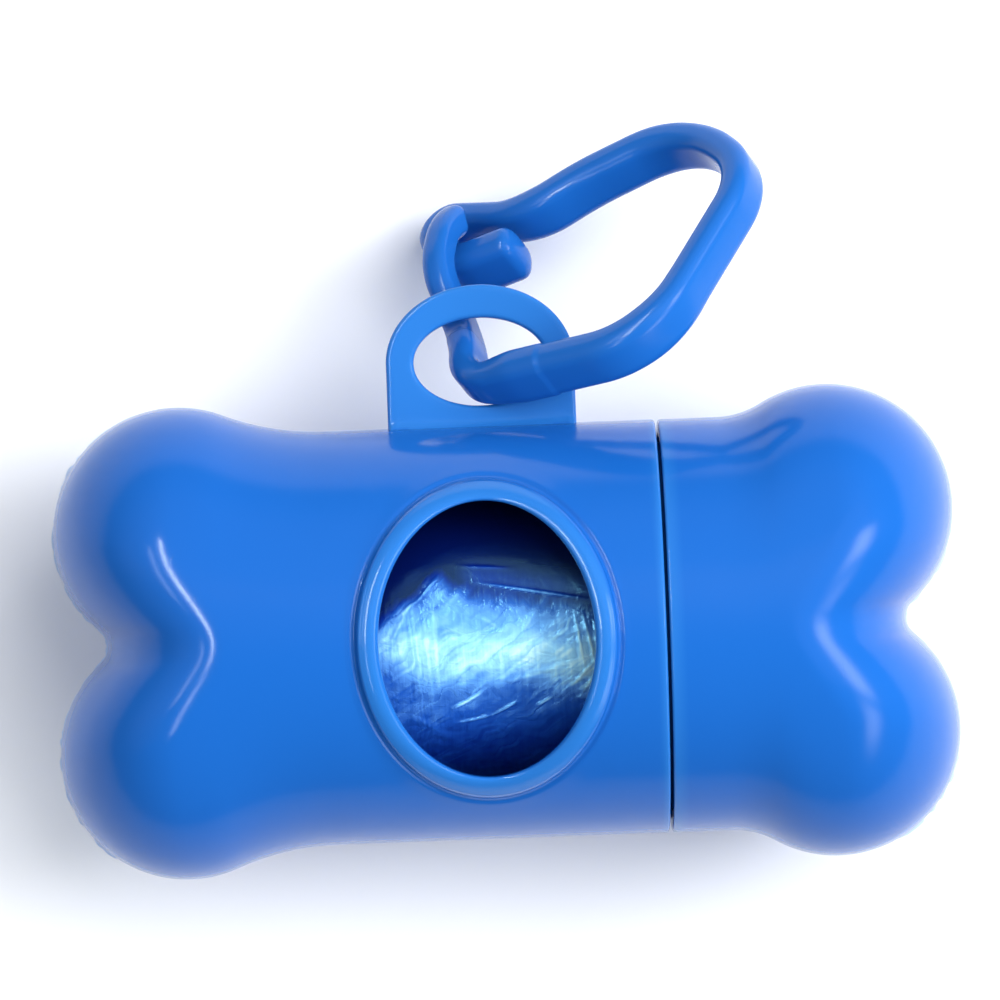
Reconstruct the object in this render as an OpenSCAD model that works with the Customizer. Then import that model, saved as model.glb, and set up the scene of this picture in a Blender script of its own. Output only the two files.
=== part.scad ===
// A bone-shaped dispenser for rolls of waste bags, with its screw-on end cap,
// the roll inside it and a one-piece moulded snap clip through its eye.
// X runs along the bone, with the cap at +X. Y runs towards the eye of the tab.
// Z is up, and the dispensing hole faces up. The part lies on the plane z = 0.

/* [Bone] */
// Outer radius of the straight tube
tube_r = 19.3; // [17.5:0.1:21.5]
// Wall of the body and of the cap
wall = 1.3; // [1:0.1:1.6]
// Distance of the lobe centres from the middle of the bone, along it
lobe_x = 30.3; // [29:0.1:34]
// Distance of the lobe centres from the axis
lobe_y = 10.35; // [9:0.05:11.5]
// Radius of a lobe, seen from above
lobe_r = 11.7; // [11:0.1:13]
// Radius in the bottom of the notch between two lobes
notch_r = 2; // [1.5:0.1:4]
// Radius of the hollow shoulder between tube and lobes on the body
body_shoulder_r = 25; // [15:1:30]
// Radius of the hollow shoulder between tube and lobes on the cap
cap_shoulder_r = 8; // [6:0.5:12]
// Depth over which the top rounds over into the end face
end_round = 11.7; // [10:0.1:12.5]

/* [Joint between body and cap] */
// Where the body ends and the cap begins
seam_x = 14.8; // [13:0.1:15.5]
// Width of the groove between body and cap
seam_gap = 0.4; // [0.2:0.05:0.6]
// Bevel on the two edges of the groove
seam_bevel = 0.3; // [0.1:0.05:0.5]
// Length of the neck that stands out of the body
neck_length = 8; // [6:0.5:9]
// Play between the neck and the bore of the cap, which the thread fills
neck_play = 0.6; // [0.4:0.05:0.8]
// Wall of the neck
neck_wall = 1.2; // [1:0.1:1.4]
// Length of the neck's root inside the tube
neck_root = 3; // [2:0.5:5]

/* [Dispensing hole] */
// Place of the hole and of the tab along the bone
hole_x = -1.6; // [-4:0.1:-1]
// Width of the hole along the bone
hole_w = 20.4; // [16:0.1:21]
// Length of the hole round the tube
hole_l = 25.4; // [20:0.1:26]
// Width of the raised rim round the hole
rim_w = 2.6; // [1.5:0.1:3]
// Height of the rim over the tube
rim_h = 1; // [0.6:0.1:1.6]
// Width of the step down on the outside of the rim
rim_step = 0.6; // [0.3:0.1:1]

/* [Tab] */
// Width of the tab
tab_w = 17.6; // [16:0.1:20]
// Thickness of the tab
tab_t = 2.4; // [1.8:0.1:3]
// Height of the eye's centre over the tube
eye_rise = 6; // [5.5:0.1:7.5]
// Width of the eye
eye_w = 12.4; // [11.5:0.1:13]
// Height of the eye
eye_h = 8.2; // [7.6:0.1:9]
// Width of the ring over the eye
ring_w = 3.1; // [2.4:0.1:3.6]

/* [Roll] */
// Play between a full roll of bags and the bore, on the radius
roll_play = 3; // [2.6:0.1:5]
// Length of the roll, which is the width of a folded bag
roll_length = 60; // [50:1:60]
// Outer radius of the card core
core_r = 5; // [4.5:0.1:6.5]
// Wall of the card core
core_wall = 1; // [0.8:0.1:1.5]
// Length by which the core is shorter than the roll, at each end
core_short = 0.5; // [0:0.1:1]
// Air between two wound bags
bag_gap = 0.05; // [0.03:0.01:0.1]
// How far the roll lies below the axis of the tube
roll_drop = 0.9; // [0.5:0.1:1]

/* [Clip] */
// Thickness of the clip's band, in the plane of the clip
clip_t = 2.8; // [2.2:0.1:3]
// Depth of the clip's band
clip_d = 4.4; // [3.8:0.1:4.6]
// Rounding of the band's edges
clip_round = 0.9; // [0.5:0.1:1.1]
// How much wider the knob at the free end of the hook is than the band
knob_extra = 0.7; // [0.3:0.1:0.9]
// Thickness of the springy gate arm
gate_t = 2.6; // [2:0.1:2.8]
// Depth of the gate arm at its tip
gate_d = 2.8; // [2.4:0.1:3]
// Share of the gate arm's sections over which it thins
gate_taper = 0.5; // [0.3:0.1:0.8]
// Direction of the clip's long axis, from the axis of the bone
clip_turn = 37.3; // [34:0.1:40]
// Lean of the clip about its long axis
clip_lean = 53; // [51:0.5:55]
// Where the clip crosses the eye, from the middle of the eye: along, across and up
clip_at = [-1.6, -0.9, -0.8]; // [-2:0.1:0]

/* [Corners of the clip, along and across it] */
// Free end of the hook, in the knob
knob_end = [12.4, -8.8]; // [-25:0.1:35]
// Bend between the knob and the leg of the hook
knob_bend = [4.9, -13.1]; // [-25:0.1:35]
// Bottom of the hook
hook_bottom = [6.8, -22]; // [-25:0.1:35]
// Bend between the hook and the lower arm
arm_bend = [13.8, -11.6]; // [-25:0.1:35]
// Lower bend of the loop, away from the eye
loop_low = [29.3, -7.7]; // [-25:0.1:35]
// Upper bend of the loop, away from the eye
loop_high = [33.1, 6.2]; // [-25:0.1:35]
// Bend at the top of the upper arm
arm_top = [14.9, 15.5]; // [-25:0.1:35]
// Bend in the eye
eye_bend = [0.1, 2.6]; // [-25:0.1:35]
// Where the band ends and the gate arm begins
gate_root = [1.8, -2.8]; // [-25:0.1:35]
// First bend of the gate arm
gate_bend = [2.3, -4.4]; // [-25:0.1:35]
// Second bend of the gate arm, and how far it stands out of the clip's plane
gate_knee = [4.3, -9.4, 4.3]; // [-25:0.1:35]
// Third bend of the gate arm
gate_wrist = [7.2, -13.3, 4.3]; // [-25:0.1:35]
// Tip of the gate arm, beside the knob
gate_tip = [9, -15.4, 2.6]; // [-25:0.1:35]

/* [Hidden] */
$fn = 96;
oval_sides = 72;

plastic = "#1f6fd8";
film = "#2a7fdc";
card = "#b59a72";
bags = 15;

bore_r = tube_r - wall;
neck_r = bore_r - neck_play;
neck_in_r = neck_r - neck_wall;
neck_end_x = seam_x + neck_length;
roll_r = bore_r - roll_play;
eye_y = tube_r + eye_rise;
bag_t = (roll_r - core_r) / bags;

// Facets round a lobed end, from its crest to its pole, and along its shoulder
end_sides = 48;
end_rows = 10;
shoulder_rows = 5;
// Passes that bring the crest and the width of its section together
crest_passes = 3;
// How deep the lobed shell's first ring lies in the tube's wall, and in its length
ring_play = 0.02;
ring_overlap = 0.3;
// Overlap of a cut past the face that it cuts
cut = 1;
// Keeps a root away from zero
tiny = 1e-9;

// ---- Outline of a lobed end, moved inwards by i ----

// Where the shoulder's arc leaves the tube, for a shoulder of radius f
function shoulder_x(f) =
    lobe_x - sqrt(pow(lobe_r + f, 2) - pow(tube_r + f - lobe_y, 2));

// Where that arc meets the lobe
function shoulder_end_x(f, i) =
    lobe_x - (lobe_r - i) * (lobe_x - shoulder_x(f)) / (lobe_r + f);

// Half width of the bone at x, from the shoulder to the middle of the lobe
function half_width(x, f, i) =
    x < shoulder_x(f) ? tube_r - i
    : x < shoulder_end_x(f, i)
        ? tube_r + f - sqrt(pow(f + i, 2) - pow(x - shoulder_x(f), 2))
        : x < lobe_x
            ? lobe_y + sqrt(pow(lobe_r - i, 2) - pow(lobe_x - x, 2))
            : lobe_y + lobe_r - i;

// Centre of the arc in the bottom of the notch
notch_x = lobe_x + sqrt(pow(lobe_r + notch_r, 2) - pow(lobe_y, 2));

// The end of the outline at y: the notch's arc, then the lobe's arc
function outline_x(y, i) =
    y < lobe_y * (notch_r + i) / (lobe_r + notch_r)
        ? notch_x - sqrt(pow(notch_r + i, 2) - pow(y, 2))
        : lobe_x + sqrt(max(0, pow(lobe_r - i, 2) - pow(y - lobe_y, 2)));

// The crest, where the top begins to round over into the end face
function crest_x(y) =
    y < lobe_y
        ? lobe_x - (lobe_x - notch_x + notch_r + end_round) * pow(cos(90 * y / lobe_y), 2)
        : lobe_x;

// Half width of the section that the crest crosses in the direction q
function crest_half(q, f, i, n = crest_passes) =
    n == 0 ? lobe_y + lobe_r - i
    : half_width(crest_x(crest_half(q, f, i, n - 1) * abs(sin(q))), f, i);

// A point on the shoulder between tube and crest: q round the axis, s from 0 to 1
function shoulder_point(q, s, f, i) =
    let (
        from = shoulder_x(f),
        x = from + s * (crest_x(crest_half(q, f, i) * abs(sin(q))) - from)
    )
    [x, half_width(x, f, i) * sin(q), (tube_r - i) * cos(q)];

// A point on the end face: q round the axis, p from 0 at the crest to 90 at the pole
function face_point(q, p, f, i) =
    let (
        y = crest_half(q, f, i) * sin(q) * cos(p),
        ay = abs(y),
        fall = sin(p) / sqrt(max(tiny, 1 - pow(cos(p) * sin(q), 2)))
    )
    [
        crest_x(ay) + (outline_x(ay, i) - crest_x(ay)) * min(1, fall),
        y,
        (tube_r - i) * cos(q) * cos(p)
    ];

// Rings of a skin at inset i, whose first ring has the radius r and lies in the tube's wall
function rows(f, i, r) = [
    [for (k = [0:end_sides - 1])
        let (q = k * 360 / end_sides)
        [shoulder_x(f) - ring_overlap, r * sin(q), r * cos(q)]],
    for (j = [1:shoulder_rows])
        [for (k = [0:end_sides - 1])
            shoulder_point(k * 360 / end_sides, j / shoulder_rows, f, i)],
    for (j = [1:end_rows - 1])
        [for (k = [0:end_sides - 1])
            face_point(k * 360 / end_sides, 90 * j / end_rows, f, i)]
];

// Triangles between ring a and ring b of n points each
function band(a, b, n) = [
    for (k = [0:n - 1])
        let (k2 = (k + 1) % n)
        each [[a + k, b + k2, a + k2], [a + k, b + k, b + k2]]
];

function flipped(faces) = [for (t = faces) [t[2], t[1], t[0]]];

// The hollow lobed end that grows out of a ring of the tube
module lobed_shell(f) {
    n = end_sides;
    outer = rows(f, 0, tube_r - ring_play);
    inner = rows(f, wall, (bore_r + ring_play) / cos(180 / n));
    count = len(outer);
    outer_pole = 2 * count * n;
    inner_pole = outer_pole + 1;
    points = [
        for (r = outer) each r,
        for (r = inner) each r,
        [outline_x(0, 0), 0, 0],
        [outline_x(0, wall), 0, 0]
    ];
    faces = [
        for (j = [0:count - 2]) each flipped(band(j * n, (j + 1) * n, n)),
        for (k = [0:n - 1]) [(count - 1) * n + (k + 1) % n, outer_pole, (count - 1) * n + k],
        for (j = [count:2 * count - 2]) each band(j * n, (j + 1) * n, n),
        for (k = [0:n - 1]) [(2 * count - 1) * n + k, inner_pole, (2 * count - 1) * n + (k + 1) % n],
        each band(0, count * n, n)
    ];
    polyhedron(points = points, faces = faces);
}

// ---- Path of the clip ----
// Its own plane: u along its long axis, v across it, s out of its front face.
// A corner is [u, v, s, cut], where cut is the length taken off to round it.

hook_path = [
    [each knob_end, 0, 0],
    [each knob_bend, 0, 3.4],
    [each hook_bottom, 0, 3.9],
    [each arm_bend, 0, 5],
    [each loop_low, 0, 6.5],
    [each loop_high, 0, 4.5],
    [each arm_top, 0, 6],
    [each eye_bend, 0, 3.8],
    [each gate_root, 0, 0]
];
gate_path = [
    [each gate_root, 0, 0],
    [each gate_bend, 0, 1.4],
    [each gate_knee, 2.2],
    [each gate_wrist, 1.6],
    [each gate_tip, 0]
];
// Turn of a rounded corner from one section to the next, in degrees
corner_step = 14;
hinge_gap = 0.05;

function flat(p) = [p[0], p[1], p[2]];
function unit(a) = a / norm(a);

// The corner at index i of a path, rounded by an arc that touches both its sides
function corner(path, i) =
    let (
        before = unit(flat(path[i]) - flat(path[i - 1])),
        after = unit(flat(path[i + 1]) - flat(path[i])),
        turn = acos(before * after),
        inwards = unit(after - (before * after) * before),
        r = path[i][3] / tan(turn / 2),
        centre = flat(path[i]) - path[i][3] * before + r * inwards,
        steps = ceil(turn / corner_step)
    )
    [for (k = [0:steps])
        centre + r * sin(k * turn / steps) * before - r * cos(k * turn / steps) * inwards];

function rounded(path) = [
    flat(path[0]),
    for (i = [1:len(path) - 2]) each corner(path, i),
    flat(path[len(path) - 1])
];

function along(route, i) =
    unit(route[min(i + 1, len(route) - 1)] - route[max(i - 1, 0)]);

// One section of the band: t in the clip's plane, d out of it, with round edges
edge_points = 4;
section_points = 4 * edge_points;
function section(t, d, r) = [
    for (c = [0:3])
        for (k = [0:edge_points - 1])
            let (q = 90 * (c + k / (edge_points - 1)))
            [
                (c == 0 || c == 3 ? 1 : -1) * (t / 2 - r) + r * cos(q),
                (c < 2 ? 1 : -1) * (d / 2 - r) + r * sin(q)
            ]
];

function ring_at(route, i, sec) =
    let (
        go = along(route, i),
        side = unit(cross([0, 0, 1], go)),
        out = cross(go, side)
    )
    [for (p = sec) route[i] + p[0] * side + p[1] * out];

// A closed tube of rings of section_points each
module skin(rings) {
    m = section_points;
    last = len(rings) - 1;
    polyhedron(
        points = [for (r = rings) each r],
        faces = [
            [for (k = [m - 1:-1:0]) k],
            for (j = [0:last - 1]) each flipped(band(j * m, (j + 1) * m, m)),
            [for (k = [0:m - 1]) last * m + k]
        ]
    );
}

hook_route = rounded(hook_path);
gate_route = rounded(gate_path);

// Shares of the knob's swelling, on the first sections of the hook
knob_swell = [0.5, 1, 1, 0.8, 0.5, 0.2];
function hook_extra(i) = i < len(knob_swell) ? knob_extra * knob_swell[i] : 0;

hook_rings = [
    for (i = [0:len(hook_route) - 1])
        ring_at(hook_route, i,
            section(clip_t + hook_extra(i), clip_d + hook_extra(i), clip_round))
];

// The gate thins from the band to its tip
function gate_share(i) = min(1, i / (len(gate_route) * gate_taper));
gate_rings = [
    for (i = [0:len(gate_route) - 1])
        let (s = gate_share(i))
        ring_at(gate_route, i,
            section(
                clip_t + s * (gate_t - clip_t),
                clip_d + s * (gate_d - clip_d),
                clip_round))
];

// The clip's plane in the frame of the bone
eye_point = [hole_x, eye_y, 0] + clip_at;
clip_u = [cos(clip_turn), sin(clip_turn), 0];
clip_v = [sin(clip_turn) * cos(clip_lean), -cos(clip_turn) * cos(clip_lean), sin(clip_lean)];
clip_s = cross(clip_v, clip_u);

function placed(p) = eye_point + p[0] * clip_u + p[1] * clip_v + p[2] * clip_s;
function placed_ring(r) = [for (p = r) placed(p)];

clip_points = [for (r = concat(hook_rings, gate_rings)) each placed_ring(r)];
clip_top_y = max([for (p = clip_points) p[1]]);

// The part's origin: the middle of its box, on the plane that it lies on
shift = [0, -(clip_top_y - lobe_y - lobe_r) / 2, tube_r];

// ---- Pieces, in the frame of the bone: the axis of the tube is X ----

module along_x() {
    rotate([0, 90, 0]) children();
}

// Radii and places along the axis, turned round it
module turned(profile) {
    along_x() rotate_extrude() polygon(profile);
}

function oval(w, h) = [
    for (k = [0:oval_sides - 1])
        let (q = k * 360 / oval_sides)
        [w / 2 * cos(q), h / 2 * sin(q)]
];

module oval_prism(extra) {
    translate([hole_x, 0, 0])
        linear_extrude(height = 2 * tube_r)
            polygon(oval(hole_w + 2 * extra, hole_l + 2 * extra));
}

// One step of the rim: an oval plate whose top follows the tube
module rim_step_at(extra, rise) {
    intersection() {
        oval_prism(extra);
        turned([
            [0, hole_x - hole_w],
            [tube_r + rise, hole_x - hole_w],
            [tube_r + rise, hole_x + hole_w],
            [0, hole_x + hole_w]
        ]);
    }
}

module raised_rim() {
    rim_step_at(rim_w, rim_h / 2);
    rim_step_at(rim_w - rim_step, rim_h);
}

// A plate with a round top, rooted in the middle of the tube's wall
tab_outline = concat(
    [for (k = [0:oval_sides / 2])
        let (q = k * 360 / oval_sides)
        [tab_w / 2 * cos(q), eye_y + (eye_h / 2 + ring_w) * sin(q)]],
    [[-tab_w / 2, bore_r + wall / 2], [tab_w / 2, bore_r + wall / 2]]
);

module tab() {
    translate([hole_x, 0, -tab_t / 2])
        linear_extrude(height = tab_t)
            polygon(tab_outline);
}

module eye_cut() {
    translate([hole_x, eye_y, -tab_t])
        linear_extrude(height = 2 * tab_t)
            polygon(oval(eye_w, eye_h));
}

module body_tube() {
    from = -shoulder_x(body_shoulder_r);
    difference() {
        union() {
            turned([
                [0, from],
                [tube_r, from],
                [tube_r, seam_x - seam_bevel],
                [tube_r - seam_bevel, seam_x],
                [neck_r, seam_x],
                [neck_r, neck_end_x - neck_wall / 2],
                [neck_r - neck_wall / 2, neck_end_x],
                [0, neck_end_x]
            ]);
            raised_rim();
            tab();
        }
        turned([
            [0, from - cut],
            [bore_r, from - cut],
            [bore_r, seam_x - neck_root - neck_wall],
            [neck_in_r, seam_x - neck_root],
            [neck_in_r, neck_end_x + cut],
            [0, neck_end_x + cut]
        ]);
        oval_prism(0);
        eye_cut();
    }
}

module bone_body() {
    color(plastic)
        translate(shift) {
            body_tube();
            mirror([1, 0, 0]) lobed_shell(body_shoulder_r);
        }
}

module end_cap() {
    from = seam_x + seam_gap;
    to = shoulder_x(cap_shoulder_r);
    color(plastic)
        translate(shift) {
            turned([
                [bore_r, from],
                [tube_r - seam_bevel, from],
                [tube_r, from + seam_bevel],
                [tube_r, to],
                [bore_r, to]
            ]);
            lobed_shell(cap_shoulder_r);
        }
}

// A tube on the roll's own axis
module sleeve(inner, outer, length) {
    translate(shift - [0, 0, roll_drop])
        turned([
            [inner, -length / 2],
            [outer, -length / 2],
            [outer, length / 2],
            [inner, length / 2]
        ]);
}

module roll_core() {
    color(card) sleeve(core_r - core_wall, core_r - bag_gap, roll_length - 2 * core_short);
}

// Bag number i, counted from the core outwards
module bag(i) {
    color(film)
        sleeve(core_r + (i - 1) * bag_t, core_r + i * bag_t - bag_gap, roll_length);
}

module clip_hook() {
    color(plastic)
        translate(shift)
            skin([for (r = hook_rings) placed_ring(r)]);
}

module clip_gate() {
    start = hinge_gap * along(gate_route, 0);
    color(plastic)
        translate(shift)
            skin([for (r = gate_rings) [for (p = r) placed(p + start)]]);
}

bone_body();
end_cap();
roll_core();
bag(1);  // bag_01
bag(2);  // bag_02
bag(3);  // bag_03
bag(4);  // bag_04
bag(5);  // bag_05
bag(6);  // bag_06
bag(7);  // bag_07
bag(8);  // bag_08
bag(9);  // bag_09
bag(10);  // bag_10
bag(11);  // bag_11
bag(12);  // bag_12
bag(13);  // bag_13
bag(14);  // bag_14
bag(15);  // bag_15
clip_hook();
clip_gate();
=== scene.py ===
# %% [markdown]
# # A bone-shaped dispenser for waste bags
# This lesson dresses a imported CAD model: the frame. The frame's solids say where each
# piece is and how it moves. Here the same pieces get smooth, high-resolution shapes,
# real edges and procedural materials, and then a camera, a table and soft light.
# The dispenser lies on its back, the dispensing hole up, and is seen from straight above.

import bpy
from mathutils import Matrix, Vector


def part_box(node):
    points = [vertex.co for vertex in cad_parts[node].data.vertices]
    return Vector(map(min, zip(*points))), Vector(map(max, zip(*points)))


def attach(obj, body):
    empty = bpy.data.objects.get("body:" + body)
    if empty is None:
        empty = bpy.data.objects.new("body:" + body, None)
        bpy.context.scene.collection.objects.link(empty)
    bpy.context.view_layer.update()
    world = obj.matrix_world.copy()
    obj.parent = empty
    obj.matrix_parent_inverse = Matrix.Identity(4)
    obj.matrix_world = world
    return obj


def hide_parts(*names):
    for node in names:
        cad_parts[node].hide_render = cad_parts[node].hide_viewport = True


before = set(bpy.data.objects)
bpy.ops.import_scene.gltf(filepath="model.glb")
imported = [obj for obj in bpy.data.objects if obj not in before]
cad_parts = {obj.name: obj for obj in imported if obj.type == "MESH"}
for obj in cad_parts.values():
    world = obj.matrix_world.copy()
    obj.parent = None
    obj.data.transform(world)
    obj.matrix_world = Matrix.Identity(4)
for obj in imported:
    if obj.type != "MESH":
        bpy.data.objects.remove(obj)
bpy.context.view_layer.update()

# %% Modules that every step uses
import math

import bmesh
import bpy
import numpy as np
from mathutils import Vector

MM = 0.001
scene = bpy.context.scene

# %% [markdown]
# ## The camera first
# The photograph looks straight down on the part from about 60 cm, so the ends of the bone
# lean outwards hardly at all. A long lens at that distance gives the same flat look.
# The bone lies turned by two degrees in the picture, so the camera is rolled instead:
# the part itself never moves from where the CAD has it.

# %% The camera
VIEW_SPAN = 0.0935  # metres across the picture, at the height of the bone's axis
VIEW_DISTANCE = 0.6
VIEW_X = -0.0002
VIEW_ROLL = math.radians(2.12)
TUBE_R = 19.3

long_lens = bpy.data.cameras.new("camera")
long_lens.lens = long_lens.sensor_width * VIEW_DISTANCE / VIEW_SPAN
camera = bpy.data.objects.new("camera", long_lens)
scene.collection.objects.link(camera)
camera.location = (VIEW_X, 0, TUBE_R * MM + VIEW_DISTANCE)
camera.rotation_euler = (0, 0, -VIEW_ROLL)
scene.camera = camera
print("lens:", round(long_lens.lens, 1), "mm")

# %% [markdown]
# ## Sizes of the bone
# These are the sizes of the bone in millimetres, with X along it. Its own axis is the
# origin of all the shapes below, and `piece_of` lays them where the frame has the bone.

# %% Sizes
WALL = 1.3
LOBE_X, LOBE_Y, LOBE_R = 30.3, 10.35, 11.7
NOTCH_R = 2.0
BODY_SHOULDER_R, CAP_SHOULDER_R = 25.0, 8.0
END_ROUND = 11.7
SEAM_X, SEAM_GAP, SEAM_BEVEL = 14.45, 0.3, 0.25
NECK_R, NECK_IN_R, NECK_END_X, NECK_ROOT = 17.4, 16.2, 22.8, 3.0
HOLE_X, HOLE_Y, HOLE_A, HOLE_B = -1.85, -0.3, 9.85, 12.6
BORE_R = TUBE_R - WALL
BORE_END_X = SEAM_X - NECK_ROOT - 1.2  # a short cone leads from the bore into the neck
EDGE_X = SEAM_X - SEAM_BEVEL

body_low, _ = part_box("bone_body")
AXIS = np.array([0.0, body_low.y / MM + LOBE_Y + LOBE_R, TUBE_R])
print("the bone's axis is at", AXIS.round(4), "mm")


def shoulder_start(shoulder_r):
    """Where the hollow shoulder leaves the tube."""
    return LOBE_X - math.sqrt((LOBE_R + shoulder_r) ** 2 - (TUBE_R + shoulder_r - LOBE_Y) ** 2)


BODY_START_X = -shoulder_start(BODY_SHOULDER_R)
CAP_START_X = shoulder_start(CAP_SHOULDER_R)
print("tube from", round(BODY_START_X, 2), "to", SEAM_X, "mm, cap tube to", round(CAP_START_X, 2))

# %% [markdown]
# ## From numbers to a mesh
# Most pieces here are skins: rows of points, each row joined to the next by quads.
# A skin is an array of points and a list of faces. Several skins are put together and
# welded where their points meet, so that the piece is one closed mesh.

# %% Skins
def skin(rows, closed=True):
    """Joins each row of points to the next, and closes the rows into rings if asked."""
    rows = np.asarray(rows, float)
    count, width = rows.shape[:2]
    faces = []
    for start in range(0, (count - 1) * width, width):
        for here in range(width if closed else width - 1):
            after = (here + 1) % width
            faces.append((start + here, start + after, start + width + after, start + width + here))
    return rows.reshape(-1, 3), faces


def mirrored(part):
    """The same skin at the other end of the bone, with its faces turned round."""
    points, faces = part
    return points * (-1, 1, 1), [f[::-1] for f in faces]


def arrays_of(mesh):
    """The points and faces of a Blender mesh, in millimetres."""
    points = np.zeros(len(mesh.vertices) * 3)
    mesh.vertices.foreach_get("co", points)
    return points.reshape(-1, 3) / MM, [tuple(p.vertices) for p in mesh.polygons]


def around_axis(x, radius, turn):
    """Points at x along the axis and at a radius from it, turned so far from the top."""
    x, radius, turn = np.broadcast_arrays(x, radius, turn)
    return np.stack([x, radius * np.sin(turn), radius * np.cos(turn)], -1)


def eased(value, start, end):
    """A smooth step from 0 at start to 1 at end."""
    t = np.clip((value - start) / (end - start), 0, 1)
    return t * t * (3 - 2 * t)


# %% Pieces
SMOOTH_UP_TO = math.radians(40)  # two faces that meet at more than this show an edge


def piece_of(name, parts, body, material, weld=0.002):
    """One welded, smooth piece on its body, from skins in millimetres about the bone's axis."""
    points, faces, first = [], [], 0
    for part_points, part_faces in parts:
        points.append(part_points)
        faces += [tuple(i + first for i in f) for f in part_faces]
        first += len(part_points)
    mesh = bpy.data.meshes.new(name)
    mesh.from_pydata(((np.concatenate(points) + AXIS) * MM).tolist(), [], faces)
    form = bmesh.new()
    form.from_mesh(mesh)
    bmesh.ops.remove_doubles(form, verts=form.verts, dist=weld * MM)
    bmesh.ops.recalc_face_normals(form, faces=form.faces)
    form.to_mesh(mesh)
    open_edges = sum(1 for e in form.edges if not e.is_manifold)
    form.free()
    mesh.materials.append(material)
    mesh.shade_smooth()
    mesh.set_sharp_from_angle(angle=SMOOTH_UP_TO)
    piece = bpy.data.objects.new(name, mesh)
    scene.collection.objects.link(piece)
    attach(piece, body)
    print(name, len(mesh.polygons), "faces,", open_edges, "open edges")
    return piece


def paint(piece, attribute, values):
    """Stores a number from 0 to 1 at each point of a piece, for its material to read."""
    stored = piece.data.attributes.new(attribute, "FLOAT", "POINT")
    stored.data.foreach_set("value", np.clip(values, 0, 1).astype(np.float32))
    print(piece.name, attribute, "from", values.min().round(2), "to", values.max().round(2))


# %% [markdown]
# ## Helpers for node trees
# Materials and Geometry Nodes are both trees. One small function adds a node, sets its
# properties and fills its inputs, so that a tree reads as a list. Much of a tree is plain
# arithmetic, and there `Sum` keeps it readable: it wraps a socket, and adding or
# multiplying two of them adds the Math node and returns its output.

# %% Adding nodes
def plug(node, values):
    """Fills inputs by name or number: a Sum or a socket is linked, a plain value is set."""
    for key, value in values.items():
        value = getattr(value, "socket", value)
        if isinstance(value, bpy.types.NodeSocket):
            node.id_data.links.new(value, node.inputs[key])
        else:
            node.inputs[key].default_value = value


def add(tree, kind, values=None, **properties):
    """Adds a node, with its properties set first and its inputs filled next."""
    node = tree.nodes.new(kind)
    for name, value in properties.items():
        setattr(node, name, value)
    plug(node, values or {})
    return node


# %% Class: a sum in a node tree
class Sum:
    """A number inside a node tree that can be reckoned with like a plain one."""

    def __init__(self, socket):
        self.socket = socket

    @staticmethod
    def math(operation, *terms):
        """The Math node's result for one to three terms, the first Sum of which gives the tree."""
        tree = next(term.socket.id_data for term in terms if isinstance(term, Sum))
        return Sum(add(tree, "ShaderNodeMath", dict(enumerate(terms)), operation=operation).outputs[0])

    def __add__(self, other):
        return Sum.math("ADD", self, other)

    def __sub__(self, other):
        return Sum.math("SUBTRACT", self, other)

    def __rsub__(self, other):
        return Sum.math("SUBTRACT", other, self)

    def __mul__(self, other):
        return Sum.math("MULTIPLY", self, other)

    def __truediv__(self, other):
        return Sum.math("DIVIDE", self, other)

    def __lt__(self, other):
        return Sum.math("LESS_THAN", self, other)

    def spread(self, start=0.0, end=1.0, low=0.0, high=1.0, kind="LINEAR"):
        """The stretch from start to end laid over low to high, and cut off there."""
        ends = {"Value": self, "From Min": start, "From Max": end, "To Min": low, "To Max": high}
        tree = self.socket.id_data
        return Sum(add(tree, "ShaderNodeMapRange", ends, interpolation_type=kind).outputs[0])


def sine(a):
    return Sum.math("SINE", a)


def cosine(a):
    return Sum.math("COSINE", a)


def root(a):
    return Sum.math("SQRT", Sum.math("MAXIMUM", a, 0.0))


def square(a):
    return a * a


def pick(test, if_true, if_false):
    """One of two sums, by a test that is 1 or 0."""
    return if_false + test * (if_true - if_false)


# %% Groups, and what their trees share
FLOAT = "NodeSocketFloat"


def new_group(name, kind, inputs, outputs):
    """A tree with named sockets: an input's own number, or the name of its kind, says what
    it takes. Returns the tree, its inputs as Sums by name, and its output node."""
    tree = bpy.data.node_groups.new(name, kind)
    for label, value in inputs.items():
        socket = {float: FLOAT, int: "NodeSocketInt"}.get(type(value), value)
        made = tree.interface.new_socket(label, in_out="INPUT", socket_type=socket)
        if socket != value:
            made.default_value = value
    for label, socket in outputs.items():
        tree.interface.new_socket(label, in_out="OUTPUT", socket_type=socket)
    given = {socket.name: Sum(socket) for socket in tree.nodes.new("NodeGroupInput").outputs}
    return tree, given, tree.nodes.new("NodeGroupOutput")


def noise(tree, place, scale, detail):
    """A noise's value at a place."""
    values = {"Vector": place, "Scale": scale, "Detail": detail}
    return Sum(add(tree, "ShaderNodeTexNoise", values).outputs["Fac"])


def cell_edges(tree, place, scale):
    """The distance to the edges of a pattern of cells, for a net of fine lines."""
    values = {"Vector": place, "Scale": scale}
    return Sum(add(tree, "ShaderNodeTexVoronoi", values, feature="DISTANCE_TO_EDGE").outputs["Distance"])


def own_place(tree):
    """A point's place on its own piece, which moves and turns with the piece."""
    return add(tree, "ShaderNodeTexCoord").outputs["Object"]


# %% [markdown]
# ## What a moulded plastic surface looks like
# Polypropylene comes out of the mould glossy, yet never perfect: the skin is very slightly
# wavy where it shrank, and fine hairline scratches from pockets and keys cross it in
# patches. All the blue plastic shares this, so it is a node group that puts out a height
# for the bump and a roughness, and each material gives it its own amounts.

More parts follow.
